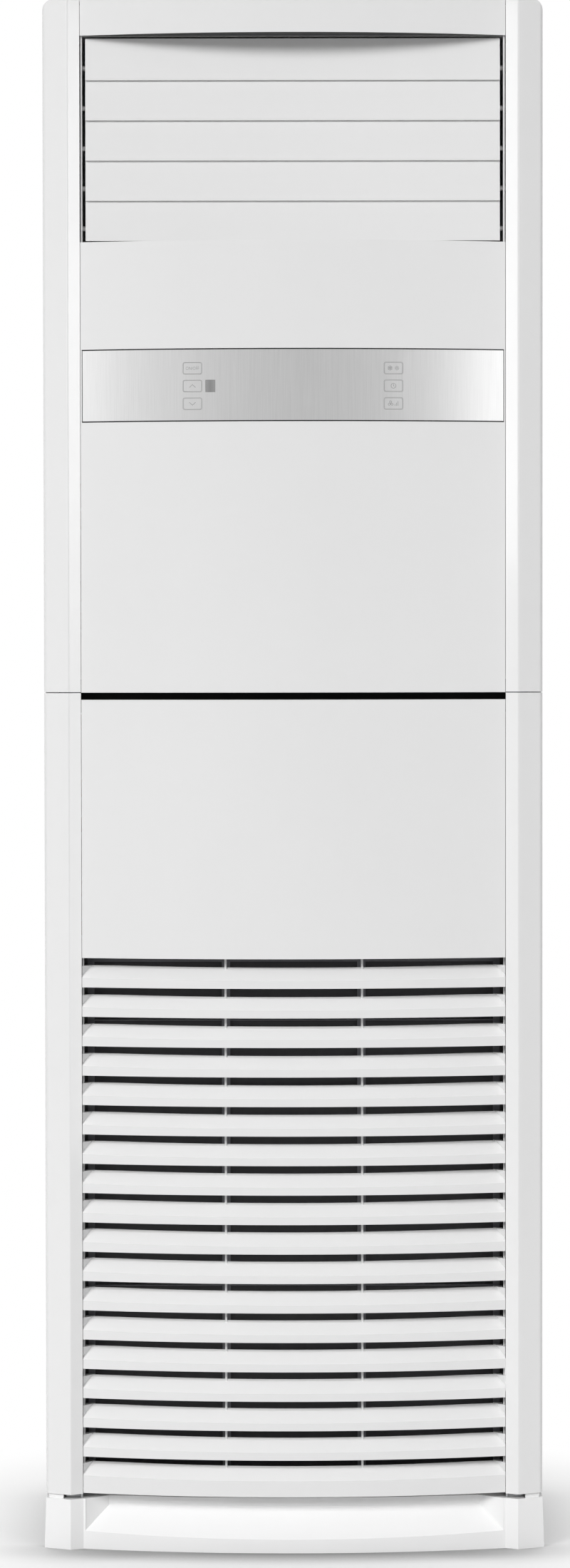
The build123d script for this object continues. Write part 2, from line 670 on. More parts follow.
def make_middle_panel():
    """Bowed panel under the outlet, with the window that takes the display strip."""
    z_span = (MIDDLE_PANEL_BOTTOM_Z, OUTLET_BOTTOM_Z)
    panel = bowed_wall(PANEL_HALF_WIDTH, 0, PLASTIC, *z_span)
    top_shelf = (OUTLET_BOTTOM_Z - FRAME_WALL, OUTLET_BOTTOM_Z)
    panel += bowed_deck(PANEL_HALF_WIDTH, 0, FRAME_FRONT_Y, *top_shelf)
    bottom_shelf = (MIDDLE_PANEL_BOTTOM_Z, MIDDLE_PANEL_BOTTOM_Z + PLASTIC)
    panel += bowed_wall(PANEL_HALF_WIDTH, 0, 4 * PLASTIC, *bottom_shelf)
    window = block(
        (-STRIP_HALF_WIDTH - STRIP_SIDE_GAP, STRIP_HALF_WIDTH + STRIP_SIDE_GAP),
        (FRONT_Y, BAY_BACK_Y),
        (STRIP_BOTTOM_Z - STRIP_GAP, STRIP_TOP_Z + STRIP_GAP),
    )
    return panel - window


def make_crossmember():
    """Folded steel rail behind the seam of the front panels."""
    z_span = (SEAM_Z - CROSSMEMBER_HEIGHT / 2, SEAM_Z + CROSSMEMBER_HEIGHT / 2)
    x_span = (-SIDE_INNER_X + SIDE_FLANGE, SIDE_INNER_X - SIDE_FLANGE)
    front = BAY_BACK_Y + PLAY
    rail = block(x_span, (front, front + SHEET), z_span)
    return rail + block(x_span, (front, front + CROSSMEMBER_SHELF), (z_span[0], z_span[0] + SHEET))


# ---------------------------------------------------------------- outlet

def make_outlet_frame():
    """Moulded frame round the outlet, bored for the blades' end pins."""
    y_span = (FRAME_FRONT_Y, FRAME_BACK_Y)
    outer = block(
        (-FRAME_OUTER_X, FRAME_OUTER_X),
        y_span,
        (OUTLET_BOTTOM_Z - FRAME_WALL, OUTLET_TOP_Z + FRAME_WALL),
    )
    frame = outer - block((-OUTLET_HALF_WIDTH, OUTLET_HALF_WIDTH), y_span, (OUTLET_BOTTOM_Z, OUTLET_TOP_Z))
    bore = PIVOT_RADIUS + RUNNING_CLEARANCE
    for z in BLADE_PIVOTS_Z:
        frame -= rod((-CABINET_HALF_WIDTH, BLADE_PIVOT_Y, z), (1, 0, 0), bore, 2 * CABINET_HALF_WIDTH)
    return frame


def make_blade(index):
    """One flat louvre blade, with end ears, pivot pins and the crank on its right pin."""
    z = BLADE_PIVOTS_Z[index]
    bottom = z - BLADE_PIVOT_RISE
    top = bottom + BLADE_PITCH + BLADE_OVERLAP
    slope = Polyline(
        (BLADE_FRONT_Y, bottom),
        (BLADE_FRONT_Y + BLADE_TILT_DEPTH, top),
        (BLADE_FRONT_Y + BLADE_TILT_DEPTH + BLADE_THICKNESS, top),
        (BLADE_FRONT_Y + BLADE_THICKNESS, bottom),
        close=True,
    )
    side = Plane(origin=(-BLADE_HALF_WIDTH, 0, 0), x_dir=(0, 1, 0), z_dir=(1, 0, 0))
    blade = extrude(side * make_face(slope), 2 * BLADE_HALF_WIDTH)
    blade += both_sides(make_blade_ear(z))
    pin_length = OUTLET_HALF_WIDTH - BLADE_HALF_WIDTH + FRAME_WALL + PLAY
    blade += rod((-BLADE_HALF_WIDTH, BLADE_PIVOT_Y, z), (-1, 0, 0), PIVOT_RADIUS, pin_length)
    blade += rod((BLADE_HALF_WIDTH, BLADE_PIVOT_Y, z), (1, 0, 0), PIVOT_RADIUS, pin_length)
    if index == BLADE_COUNT // 2:
        blade += rod((-CRANK_X, BLADE_PIVOT_Y, z), (-1, 0, 0), PIVOT_RADIUS, STEPPER_BORE)
    blade += make_crank(z)
    return blade


def make_blade_ear(z):
    """The right ear: a plate from the blade's back to its pivot."""
    ear = rod((BLADE_HALF_WIDTH - BLADE_EAR, BLADE_PIVOT_Y, z), (1, 0, 0), BLADE_EAR_RADIUS, BLADE_EAR)
    ear += block(
        (BLADE_HALF_WIDTH - BLADE_EAR, BLADE_HALF_WIDTH),
        (BLADE_FRONT_Y + BLADE_THICKNESS, BLADE_PIVOT_Y),
        (z - BLADE_EAR_RADIUS, z + BLADE_EAR_RADIUS),
    )
    return ear


def make_crank(z):
    """The crank arm outside the frame's right wall, pointing back from the pivot."""
    end_y = BLADE_PIVOT_Y + CRANK_RADIUS
    half = LINK_WIDTH / 2
    crank = block((CRANK_X, CRANK_X + CRANK_THICKNESS), (BLADE_PIVOT_Y, end_y), (z - half, z + half))
    crank += rod((CRANK_X, BLADE_PIVOT_Y, z), (1, 0, 0), half, CRANK_THICKNESS)
    crank += rod((CRANK_X, end_y, z), (1, 0, 0), half, CRANK_THICKNESS)
    pin_length = CRANK_THICKNESS + LINK_THICKNESS + 2 * PLAY
    crank += rod((CRANK_X, end_y, z), (1, 0, 0), CRANK_PIN_RADIUS, pin_length)
    return crank


def make_louvre_link():
    """Upright bar that joins the crank pins; only the first one is a close fit."""
    y = BLADE_PIVOT_Y + CRANK_RADIUS
    x = CRANK_X + CRANK_THICKNESS + PLAY
    half = LINK_WIDTH / 2
    first = BLADE_PIVOTS_Z[0]
    last = BLADE_PIVOTS_Z[-1]
    link = block((x, x + LINK_THICKNESS), (y - half, y + half), (first, last))
    link += rod((x, y, first), (1, 0, 0), half, LINK_THICKNESS)
    link += rod((x, y, last), (1, 0, 0), half, LINK_THICKNESS)
    for z in BLADE_PIVOTS_Z:
        clearance = RUNNING_CLEARANCE if z == first else OPEN_PIVOT_CLEARANCE
        link -= rod((x, y, z), (1, 0, 0), CRANK_PIN_RADIUS + clearance, LINK_THICKNESS)
    return link


def make_stepper(start, direction):
    """A small geared motor whose bore takes a driven pin."""
    motor = rod(start, direction, STEPPER_RADIUS, STEPPER_LENGTH)
    return motor - rod(start, direction, PIVOT_RADIUS + RUNNING_CLEARANCE, STEPPER_BORE + PLAY)


def make_louvre_motor():
    """Small geared motor outside the frame's left wall, on the middle blade's pin."""
    return make_stepper((-CRANK_X, BLADE_PIVOT_Y, BLADE_PIVOTS_Z[BLADE_COUNT // 2]), (-1, 0, 0))


def make_outlet_duct():
    """Duct behind the frame: a floor and a roof bored for the vanes, sides and a curved back."""
    outer_x = OUTLET_HALF_WIDTH + DUCT_WALL
    y_span = (FRAME_BACK_Y, DUCT_BACK_Y)
    roof_z = OUTLET_TOP_Z
    floor_z = OUTLET_BOTTOM_Z
    duct = block((-outer_x, outer_x), (y_span[0], DUCT_FLOOR_BACK_Y), (floor_z - DUCT_WALL, floor_z))
    duct += block((-outer_x, outer_x), (y_span[0], DUCT_FLOOR_BACK_Y), (roof_z, roof_z + DUCT_WALL))
    duct += both_sides(block((OUTLET_HALF_WIDTH, outer_x), (y_span[0], DUCT_FLOOR_BACK_Y), (floor_z, roof_z)))
    duct += make_duct_bend(outer_x, floor_z, roof_z)
    bore = PIVOT_RADIUS + RUNNING_CLEARANCE
    for x in VANES_X:
        duct -= rod((x, VANE_PIVOT_Y, floor_z - DUCT_WALL), (0, 0, 1), bore, roof_z - floor_z + 2 * DUCT_WALL)
    return duct


def make_duct_bend(outer_x, floor_z, roof_z):
    """The quarter-round back of the duct, with its two cheeks."""
    height = roof_z - floor_z
    depth = DUCT_BACK_Y - DUCT_FLOOR_BACK_Y
    side = Plane(origin=(-outer_x, 0, 0), x_dir=(0, 1, 0), z_dir=(1, 0, 0))

    def quarter(grow):
        start = (DUCT_FLOOR_BACK_Y, roof_z + grow)
        end = (DUCT_BACK_Y + grow, floor_z)
        turn = math.sqrt(0.5)
        middle = (
            DUCT_FLOOR_BACK_Y + turn * (depth + grow),
            floor_z + turn * (height + grow),
        )
        arc = ThreePointArc(start, middle, end)
        return make_face([arc, Polyline(end, (DUCT_FLOOR_BACK_Y, floor_z), start)])

    bend = extrude(side * quarter(DUCT_WALL), 2 * outer_x)
    room = extrude(side * quarter(0.0), 2 * outer_x) & block(
        (-OUTLET_HALF_WIDTH, OUTLET_HALF_WIDTH),
        (DUCT_FLOOR_BACK_Y, BACK_Y),
        (floor_z, CABINET_HEIGHT),
    )
    return bend - room


def make_vane(index):
    """One upright vane with a pivot pin at each end and a crank pin below its tail."""
    x = VANES_X[index]
    half = VANE_THICKNESS / 2
    y_span = (VANE_FRONT_Y, VANE_FRONT_Y + VANE_DEPTH)
    vane = block((x - half, x + half), y_span, (VANE_BOTTOM_Z, VANE_TOP_Z))
    boss = PIVOT_RADIUS + half
    floor_z = OUTLET_BOTTOM_Z
    vane += rod((x, VANE_PIVOT_Y, VANE_BOTTOM_Z), (0, 0, 1), boss, VANE_TOP_Z - VANE_BOTTOM_Z)
    low = VANE_BOTTOM_Z - floor_z + DUCT_WALL
    if index == VANE_COUNT // 2:
        low += STEPPER_BORE
    vane += rod((x, VANE_PIVOT_Y, VANE_BOTTOM_Z), (0, 0, -1), PIVOT_RADIUS, low)
    vane += rod((x, VANE_PIVOT_Y, VANE_TOP_Z), (0, 0, 1), PIVOT_RADIUS, PLAY + DUCT_WALL)
    vane += rod((x, VANE_LINK_Y, VANE_BOTTOM_Z), (0, 0, 1), CRANK_PIN_RADIUS + half, BLADE_PITCH / 4)
    crank_pin = LINK_THICKNESS + 2 * PLAY
    vane += rod((x, VANE_LINK_Y, VANE_BOTTOM_Z), (0, 0, -1), CRANK_PIN_RADIUS, crank_pin)
    return vane


def make_vane_link():
    """Flat bar under the vanes' tails; only the first vane's pin is a close fit."""
    z_top = VANE_BOTTOM_Z - PLAY
    half = LINK_WIDTH / 2
    first = VANES_X[0]
    last = VANES_X[-1]
    link = block((first, last), (VANE_LINK_Y - half, VANE_LINK_Y + half), (z_top - LINK_THICKNESS, z_top))
    link += rod((first, VANE_LINK_Y, z_top), (0, 0, -1), half, LINK_THICKNESS)
    link += rod((last, VANE_LINK_Y, z_top), (0, 0, -1), half, LINK_THICKNESS)
    for x in VANES_X:
        clearance = RUNNING_CLEARANCE if x == first else OPEN_PIVOT_CLEARANCE
        link -= rod((x, VANE_LINK_Y, z_top), (0, 0, -1), CRANK_PIN_RADIUS + clearance, LINK_THICKNESS)
    return link


def make_vane_motor():
    """Small geared motor under the duct floor, on the middle vane's pin."""
    return make_stepper((VANES_X[VANE_COUNT // 2], VANE_PIVOT_Y, OUTLET_BOTTOM_Z - DUCT_WALL), (0, 0, -1))


# ---------------------------------------------------------------- display strip and keys

def key_places():
    """Centres of the six keys as x and z: left column first, top to bottom."""
    return [(x, z) for x in (-KEY_X, KEY_X) for z in KEY_ROWS_Z]


def receiver_prism(grow, y_span):
    """The receiver window's outline, pulled through a y span."""
    half_width = RECEIVER_WIDTH / 2 + grow
    half_height = RECEIVER_HEIGHT / 2 + grow
    return block(
        (RECEIVER_X - half_width, RECEIVER_X + half_width),
        y_span,
        (RECEIVER_Z - half_height, RECEIVER_Z + half_height),
    )


def make_display_strip():
    """Bowed metal strip, pierced for the keys and the receiver window."""
    strip = bowed_wall(STRIP_HALF_WIDTH, 0, STRIP_THICKNESS, STRIP_BOTTOM_Z, STRIP_TOP_Z)
    through = (FRONT_Y, BAY_BACK_Y)
    for x, z in key_places():
        strip -= key_prism(x, z, KEY_GAP, through)
    return strip - receiver_prism(KEY_GAP, through)


def make_strip_carrier():
    """Dark frame behind the strip: it closes the window and holds the display board."""
    inset = PLASTIC
    z_span = (STRIP_BOTTOM_Z - CARRIER_MARGIN, STRIP_TOP_Z + CARRIER_MARGIN)
    carrier = bowed_wall(PANEL_HALF_WIDTH, inset, CARRIER_THICKNESS, *z_span)
    pad_span = (STRIP_BOTTOM_Z + STRIP_GAP, STRIP_TOP_Z - STRIP_GAP)
    carrier += bowed_wall(STRIP_HALF_WIDTH - STRIP_GAP, STRIP_THICKNESS, inset - STRIP_THICKNESS, *pad_span)
    carrier -= block(
        (-KEY_X - KEY_WIDTH, KEY_X + KEY_WIDTH),
        (FRONT_Y, BAY_BACK_Y),
        (KEY_ROWS_Z[-1] - KEY_HEIGHT, KEY_ROWS_Z[0] + KEY_HEIGHT),
    )
    return carrier + make_board_posts()


def make_board_posts():
    """Four posts from the carrier back to the board."""
    posts = Part()
    for x in (-POST_X, POST_X):
        for z in (KEY_ROWS_Z[-1] - POST_DROP, KEY_ROWS_Z[0] + POST_DROP):
            start_y = front_y(POST_X, PLASTIC + CARRIER_THICKNESS / 2)
            posts += rod((x, start_y, z), (0, 1, 0), POST_RADIUS, BOARD_Y - start_y)
    return posts


def make_key(x, z):
    """One key: a cap flush with the strip, a flange behind it and a stem to its switch."""
    through = (FRONT_Y - BOW_DEPTH, BAY_BACK_Y)
    cap = bowed_wall(STRIP_HALF_WIDTH, 0, KEY_DEPTH, z - KEY_HEIGHT, z + KEY_HEIGHT)
    cap &= key_prism(x, z, 0.0, through)
    flange_inset = STRIP_THICKNESS + KEY_GAP
    z_span = (z - KEY_HEIGHT, z + KEY_HEIGHT)
    flange = bowed_wall(STRIP_HALF_WIDTH, flange_inset, KEY_FLANGE_THICKNESS, *z_span)
    cap += flange & key_prism(x, z, KEY_FLANGE, through)
    stem_start = front_y(x, KEY_DEPTH / 2)
    stem_end = BOARD_Y - SWITCH_HEIGHT - KEY_TRAVEL - STOP_GAP
    return cap + rod((x, stem_start, z), (0, 1, 0), KEY_STEM_RADIUS, stem_end - stem_start)


def make_receiver_window():
    """Small dark window flush with the strip."""
    z_span = (RECEIVER_Z - RECEIVER_HEIGHT, RECEIVER_Z + RECEIVER_HEIGHT)
    pane = bowed_wall(STRIP_HALF_WIDTH, 0, STRIP_THICKNESS, *z_span)
    pane &= receiver_prism(KEY_GAP / 2, (FRONT_Y - BOW_DEPTH, BAY_BACK_Y))
    lip = bowed_wall(STRIP_HALF_WIDTH, STRIP_THICKNESS, KEY_FLANGE_THICKNESS, *z_span)
    return pane + (lip & receiver_prism(KEY_GAP + KEY_FLANGE, (FRONT_Y - BOW_DEPTH, BAY_BACK_Y)))


def make_display_board():
    """Circuit board with one switch behind each key and the receiver block."""
    margin = POST_RADIUS + BOARD_MARGIN
    board = block(
        (-POST_X - margin, POST_X + margin),
        (BOARD_Y, BOARD_Y + BOARD_THICKNESS),
        (KEY_ROWS_Z[-1] - POST_DROP - POST_RADIUS, KEY_ROWS_Z[0] + POST_DROP + POST_RADIUS),
    )
    half = SWITCH_SIZE / 2
    for x, z in key_places():
        board += block((x - half, x + half), (BOARD_Y - SWITCH_HEIGHT, BOARD_Y), (z - half, z + half))
    board += block(
        (RECEIVER_X - half, RECEIVER_X + half),
        (BOARD_Y - 2 * SWITCH_HEIGHT, BOARD_Y),
        (RECEIVER_Z - half, RECEIVER_Z + half),
    )
    return board


# ---------------------------------------------------------------- intake panel and filter

def under_slope(crease_z):
    """Everything under a slat's slope: a cone on an axis that leans, so that its ends lift."""
    lean = math.atan2(SLAT_END_LIFT, BOW_DEPTH)
    reach = SLAT_DEPTH + 2 * SLAT_THICKNESS
    steepness = SLAT_RISE / SLAT_DEPTH - math.tan(lean)
    back = BOW_RADIUS - reach
    front = BOW_RADIUS + 2 * SLAT_THICKNESS
    floor = -SLAT_PITCH - LAST_SLAT_HEIGHT
    section = Polyline(
        (front, -2 * SLAT_THICKNESS * steepness),
        (back, reach * steepness),
        (back, floor),
        (front, floor),
        close=True,
    )
    centre = (0, FRONT_Y + BOW_RADIUS * math.cos(lean), crease_z + BOW_RADIUS * math.sin(lean))
    axis = Axis(centre, (0, -math.sin(lean), math.cos(lean)))
    half_turn = math.degrees(math.asin(PANEL_HALF_WIDTH / BOW_RADIUS)) + 1
    start = Plane(
        origin=centre,
        x_dir=(0, -math.cos(lean), -math.sin(lean)),
        z_dir=(-1, 0, 0),
    )
    body = revolve(start * make_face(section), axis=axis, revolution_arc=2 * half_turn)
    return body.rotate(axis, -half_turn)


def make_slat(lip_bottom_z, lip_height):
    """A bowed slat: an upright lip in front, then a slope up and back to the cheeks."""
    crease_z = lip_bottom_z + lip_height
    top = crease_z + SLAT_END_RISE
    slat = bowed_wall(PANEL_HALF_WIDTH, 0, SLAT_DEPTH, lip_bottom_z, top) & under_slope(crease_z)
    hollow = bowed_wall(
        PANEL_HALF_WIDTH + SLAT_THICKNESS,
        SLAT_THICKNESS,
        SLAT_DEPTH,
        lip_bottom_z,
        top,
    )
    slat -= hollow & under_slope(crease_z - SLAT_THICKNESS)
    cheek_top = crease_z + SLAT_END_RISE
    slat -= both_sides(column(cheek_face(), lip_bottom_z, cheek_top))
    return slat + both_sides(make_cheek(lip_bottom_z, cheek_top))


def cheek_face():
    """Plan of the space outside the right splayed cheek."""
    front = front_y(PANEL_HALF_WIDTH)
    return make_face(
        Polyline(
            (PANEL_HALF_WIDTH, front + CHEEK_SETBACK),
            (CHEEK_BACK_X, front + SLAT_DEPTH),
            (CHEEK_BACK_X, front + SLAT_DEPTH + PLASTIC),
            (PANEL_HALF_WIDTH + PLASTIC, front + SLAT_DEPTH + PLASTIC),
            (PANEL_HALF_WIDTH + PLASTIC, front + CHEEK_SETBACK),
            close=True,
        )
    )


def make_cheek(z_from, z_to):
    """The right splayed cheek that closes one slat's end, open from below."""
    front = front_y(PANEL_HALF_WIDTH)
    back_y = front + SLAT_DEPTH
    skin = Polyline(
        (PANEL_HALF_WIDTH, front + CHEEK_SETBACK),
        (CHEEK_BACK_X, back_y),
        (CHEEK_BACK_X, back_y + THIN_PLASTIC),
        (PANEL_HALF_WIDTH, back_y + THIN_PLASTIC),
        close=True,
    )
    cheek = column(make_face(skin), z_from, z_to)
    pocket = Polyline(
        (PANEL_HALF_WIDTH - THIN_PLASTIC, front + CHEEK_SETBACK + 4 * THIN_PLASTIC),
        (CHEEK_BACK_X + 2 * PLASTIC, back_y),
        (PANEL_HALF_WIDTH - THIN_PLASTIC, back_y),
        close=True,
    )
    return cheek - column(make_face(pocket), z_from, z_to - THIN_PLASTIC)


def make_side_rail():
    """Right side return of the intake panel, with the lips that guide the filter."""
    z_span = (LOWER_PANEL_BOTTOM_Z, LOWER_PANEL_TOP_Z - PLASTIC)
    inner = PANEL_HALF_WIDTH - THIN_PLASTIC
    front = front_y(PANEL_HALF_WIDTH)
    wall_x = (inner, PANEL_HALF_WIDTH)
    rail = block(wall_x, (front + SIDE_RETURN_SETBACK, RAIL_BACK_Y), z_span)
    plain_z = (GRILLE_TOP_Z, LOWER_PANEL_TOP_Z - PLASTIC)
    rail += block(wall_x, (front + THIN_PLASTIC / 2, RAIL_BACK_Y), plain_z)
    reach = (inner - RAIL_REACH, inner)
    rail += block(reach, (FILTER_Y - FILTER_PLAY - RAIL_LIP, FILTER_Y - FILTER_PLAY), z_span)
    rail += block(reach, (RAIL_BACK_Y - RAIL_LIP, RAIL_BACK_Y), z_span)
    return rail


def make_rib(x):
    """Upright rib that ties the slats together behind their slopes."""
    z_span = (LOWER_PANEL_BOTTOM_Z, GRILLE_TOP_Z)
    start = front_y(x, SLAT_DEPTH - RIB_OVERLAP)
    return block((x - RIB_WIDTH / 2, x + RIB_WIDTH / 2), (start, start + RIB_DEPTH), z_span)


def make_intake_panel():
    """Lower front panel: plain above, slatted below, with rails for the filter behind."""
    panel = bowed_wall(PANEL_HALF_WIDTH, 0, PLASTIC, GRILLE_TOP_Z, LOWER_PANEL_TOP_Z)
    deck_back = FILTER_Y - FILTER_PLAY
    z_top = LOWER_PANEL_TOP_Z
    panel += bowed_deck(PANEL_HALF_WIDTH, 0, deck_back, z_top - PLASTIC, z_top)
    slats = make_slat(LOWER_PANEL_BOTTOM_Z, LAST_LIP)
    slat = make_slat(GRILLE_TOP_Z - SLAT_PITCH, SLAT_LIP)
    for i in range(SLAT_COUNT):
        slats += Pos(0, 0, -i * SLAT_PITCH) * slat
    slats += make_rib(-RIB_X) + make_rib(RIB_X)
    panel += slats
    panel += both_sides(make_side_rail())
    z_low = LOWER_PANEL_BOTTOM_Z
    floor_half = PANEL_HALF_WIDTH - THIN_PLASTIC / 2
    panel += bowed_deck(floor_half, SLAT_THICKNESS / 2, RAIL_BACK_Y, z_low, z_low + PLASTIC)
    pin_length = PILLAR_GAP + PLAY + BRACKET_SHEET + PLAY
    pin_start = (PANEL_HALF_WIDTH, PANEL_PIVOT_Y, PANEL_PIVOT_Z)
    return panel + both_sides(rod(pin_start, (1, 0, 0), PANEL_PIVOT_RADIUS, pin_length))


def make_pivot_bracket():
    """Right steel angle on the base that carries the intake panel's pin."""
    x_in = PANEL_HALF_WIDTH + PILLAR_GAP + PLAY
    back = PANEL_PIVOT_Y + BRACKET_DEPTH
    ear_top = PANEL_PIVOT_Z + 3 * PANEL_PIVOT_RADIUS
    ear = block((x_in, x_in + BRACKET_SHEET), (PANEL_PIVOT_Y, back), (BASE_HEIGHT, ear_top))
    ear += rod((x_in, PANEL_PIVOT_Y, PANEL_PIVOT_Z), (1, 0, 0), PANEL_PIVOT_RADIUS + PIVOT_RIM, BRACKET_SHEET)
    ear -= rod(
        (x_in, PANEL_PIVOT_Y, PANEL_PIVOT_Z),
        (1, 0, 0),
        PANEL_PIVOT_RADIUS + RUNNING_CLEARANCE,
        BRACKET_SHEET,
    )
    foot_front = PANEL_PIVOT_Y + 2 * PANEL_PIVOT_RADIUS
    foot_z = (BASE_HEIGHT, BASE_HEIGHT + BRACKET_SHEET)
    foot = block((x_in, x_in + BRACKET_FOOT), (foot_front, back), foot_z)
    return ear + foot


def make_filter():
    """Washable filter: a moulded frame with two uprights, and fine mesh across it."""
    y_span = (FILTER_Y, FILTER_BACK_Y)
    z_span = (FILTER_BOTTOM_Z, FILTER_TOP_Z)
    frame = block((-FILTER_HALF_WIDTH, FILTER_HALF_WIDTH), y_span, z_span)
    inner_x = FILTER_HALF_WIDTH - FILTER_BORDER
    inner_z = (z_span[0] + FILTER_BORDER, z_span[1] - FILTER_BORDER)
    frame -= block((-inner_x, inner_x), y_span, inner_z)
    for x in (-RIB_X, RIB_X):
        frame += block((x - FILTER_BORDER / 2, x + FILTER_BORDER / 2), y_span, inner_z)
    mesh_y = (FILTER_Y + FILTER_THICKNESS / 2, FILTER_Y + FILTER_THICKNESS / 2 + FILTER_MESH)
    return frame + block((-inner_x, inner_x), mesh_y, inner_z)


# ---------------------------------------------------------------- blower

def scroll_face(top_z):
    """Front view of the volute: three quarter arcs that widen, then a straight throat upward."""
    r1 = SCROLL_START_RADIUS
    r2 = r1 + SCROLL_STEP
    r3 = r2 + SCROLL_STEP
    z0 = FAN_AXIS_Z
    z3 = z0 + SCROLL_STEP
    x2 = SCROLL_STEP
    tongue = math.radians(SCROLL_TONGUE_ANGLE)
    start = (r1 * math.cos(tongue), z0 + r1 * math.sin(tongue))
    half = math.sqrt(0.5)
    edges = [
        ThreePointArc(start, (-r1 * half, z0 + r1 * half), (-r1, z0)),
        ThreePointArc((-r1, z0), (x2 - r2 * half, z0 - r2 * half), (x2, z0 - r2)),
        ThreePointArc((x2, z0 - r2), (x2 + r3 * half, z3 - r3 * half), (x2 + r3, z3)),
        Polyline((x2 + r3, z3), (x2 + r3, top_z), (start[0], top_z), start),
    ]
    return make_face(edges)


def front_view(face, y_from, y_to):
    """A face drawn in x and z, pulled back between two y values."""
    plane = Plane(origin=(0, y_from, 0), x_dir=(1, 0, 0), z_dir=(0, -1, 0))
    return extrude(plane * face, y_to - y_from, dir=(0, 1, 0))


def make_scroll_housing():
    """Volute casing with an inlet in front, a shaft hole behind and its outlet on top."""
    wall_face = offset(scroll_face(SCROLL_OUTLET_Z), SCROLL_WALL, kind=Kind.INTERSECTION)
    casing = front_view(wall_face, SCROLL_FRONT_Y, SCROLL_BACK_Y)
    room_face = scroll_face(SCROLL_OUTLET_Z + 2 * SCROLL_WALL)
    casing -= front_view(room_face, SCROLL_FRONT_Y + SCROLL_WALL, SCROLL_BACK_Y - SCROLL_WALL)
    inlet = INLET_RADIUS + INLET_LIP
    casing -= rod((0, SCROLL_FRONT_Y, FAN_AXIS_Z), (0, 1, 0), inlet, SCROLL_WALL)
    return casing - rod((0, 0, FAN_AXIS_Z), (0, 1, 0), 2 * SHAFT_RADIUS, BACK_Y)


def make_inlet_ring():
    """Bell-mouthed ring that leads the air into the impeller."""
    mouth = INLET_RADIUS + INLET_LIP
    section = Polyline(
        (mouth, SCROLL_FRONT_Y),
        (mouth + INLET_LIP, SCROLL_FRONT_Y),
        (mouth + INLET_LIP, SCROLL_FRONT_Y - SCROLL_WALL),
        (mouth - SCROLL_WALL, SCROLL_FRONT_Y - SCROLL_WALL),
        (INLET_RADIUS - SCROLL_WALL, SCROLL_FRONT_Y + INLET_LIP / 2),
        (INLET_RADIUS - SCROLL_WALL, SCROLL_FRONT_Y + INLET_LIP),
        (INLET_RADIUS, SCROLL_FRONT_Y + INLET_LIP),
        (INLET_RADIUS, SCROLL_FRONT_Y + INLET_LIP / 2),
        close=True,
    )
    plane = Plane(origin=(0, 0, FAN_AXIS_Z), x_dir=(1, 0, 0), z_dir=(0, 0, 1))
    return revolve(plane * make_face(section), axis=Axis((0, 0, FAN_AXIS_Z), (0, 1, 0)))


def make_fan_blade():
    """One forward-curved impeller blade, lying at the +X side of the wheel."""
    outer = FAN_RADIUS - FAN_BLADE_THICKNESS
    inner = FAN_RADIUS - FAN_BLADE_DEPTH
    bulge = FAN_BLADE_DEPTH / 4
    line = ThreePointArc((inner, 0), ((inner + outer) / 2, -bulge), (outer, 0))
    back = ThreePointArc(
        (outer, FAN_BLADE_THICKNESS),
        ((inner + outer) / 2, FAN_BLADE_THICKNESS - bulge),
        (inner, FAN_BLADE_THICKNESS),
    )
    face = make_face([line, Line(line @ 1, back @ 0), back, Line(back @ 1, line @ 0)])
    return front_view(face, FAN_FRONT_Y, FAN_BACK_Y).moved(Location((0, 0, FAN_AXIS_Z)))


def make_impeller():
    """Squirrel-cage wheel: back disc, hub, front ring and forward-curved blades."""
    centre = (0, FAN_BACK_Y, FAN_AXIS_Z)
    wheel = rod(centre, (0, -1, 0), FAN_RADIUS, SCROLL_WALL)
    wheel += rod(centre, (0, -1, 0), HUB_RADIUS, 2 * HUB_RADIUS)
    ring_start = (0, FAN_FRONT_Y, FAN_AXIS_Z)
    ring = rod(ring_start, (0, 1, 0), FAN_RADIUS, INLET_LIP)
    ring -= rod(ring_start, (0, 1, 0), FAN_RADIUS - 2 * FAN_BLADE_THICKNESS, INLET_LIP)
    wheel += ring
    axis = Axis((0, 0, FAN_AXIS_Z), (0, 1, 0))
    blade = make_fan_blade()
    blades = [blade.rotate(axis, i * 360 / FAN_BLADE_COUNT) for i in range(FAN_BLADE_COUNT)]
    wheel = wheel.fuse(*blades)
    return wheel - rod(centre, (0, -1, 0), SHAFT_RADIUS, 2 * HUB_RADIUS)


def make_motor_shaft():
    """Steel shaft from the impeller's hub into the motor."""
    start = (0, FAN_BACK_Y - 2 * HUB_RADIUS, FAN_AXIS_Z)
    return rod(start, (0, 1, 0), SHAFT_RADIUS, MOTOR_BACK_Y - PLASTIC - start[1])


def make_fan_motor():
    """Motor can with its end bosses, bored for the shaft."""
    start = (0, MOTOR_FRONT_Y, FAN_AXIS_Z)
    motor = rod(start, (0, 1, 0), MOTOR_RADIUS, MOTOR_LENGTH)
    length = MOTOR_LENGTH - PLASTIC + PLAY
    return motor - rod(start, (0, 1, 0), SHAFT_RADIUS + RUNNING_CLEARANCE, length)


def make_motor_mount():
    """Folded steel plate behind the motor, standing on the base pan."""
    half = MOTOR_RADIUS + MOUNT_MARGIN
    back = MOTOR_BACK_Y + MOUNT_SHEET
    plate = block((-half, half), (MOTOR_BACK_Y, back), (BASE_HEIGHT, FAN_AXIS_Z + half))
    foot = block((-half, half), (MOTOR_FRONT_Y, MOTOR_BACK_Y), (BASE_HEIGHT, BASE_HEIGHT + MOUNT_SHEET))
    cheeks = both_sides(
        block((half - MOUNT_SHEET, half), (MOTOR_FRONT_Y, MOTOR_BACK_Y), (BASE_HEIGHT, FAN_AXIS_Z - half))
    )
    return plate + foot + cheeks


# ---------------------------------------------------------------- coil and pipes

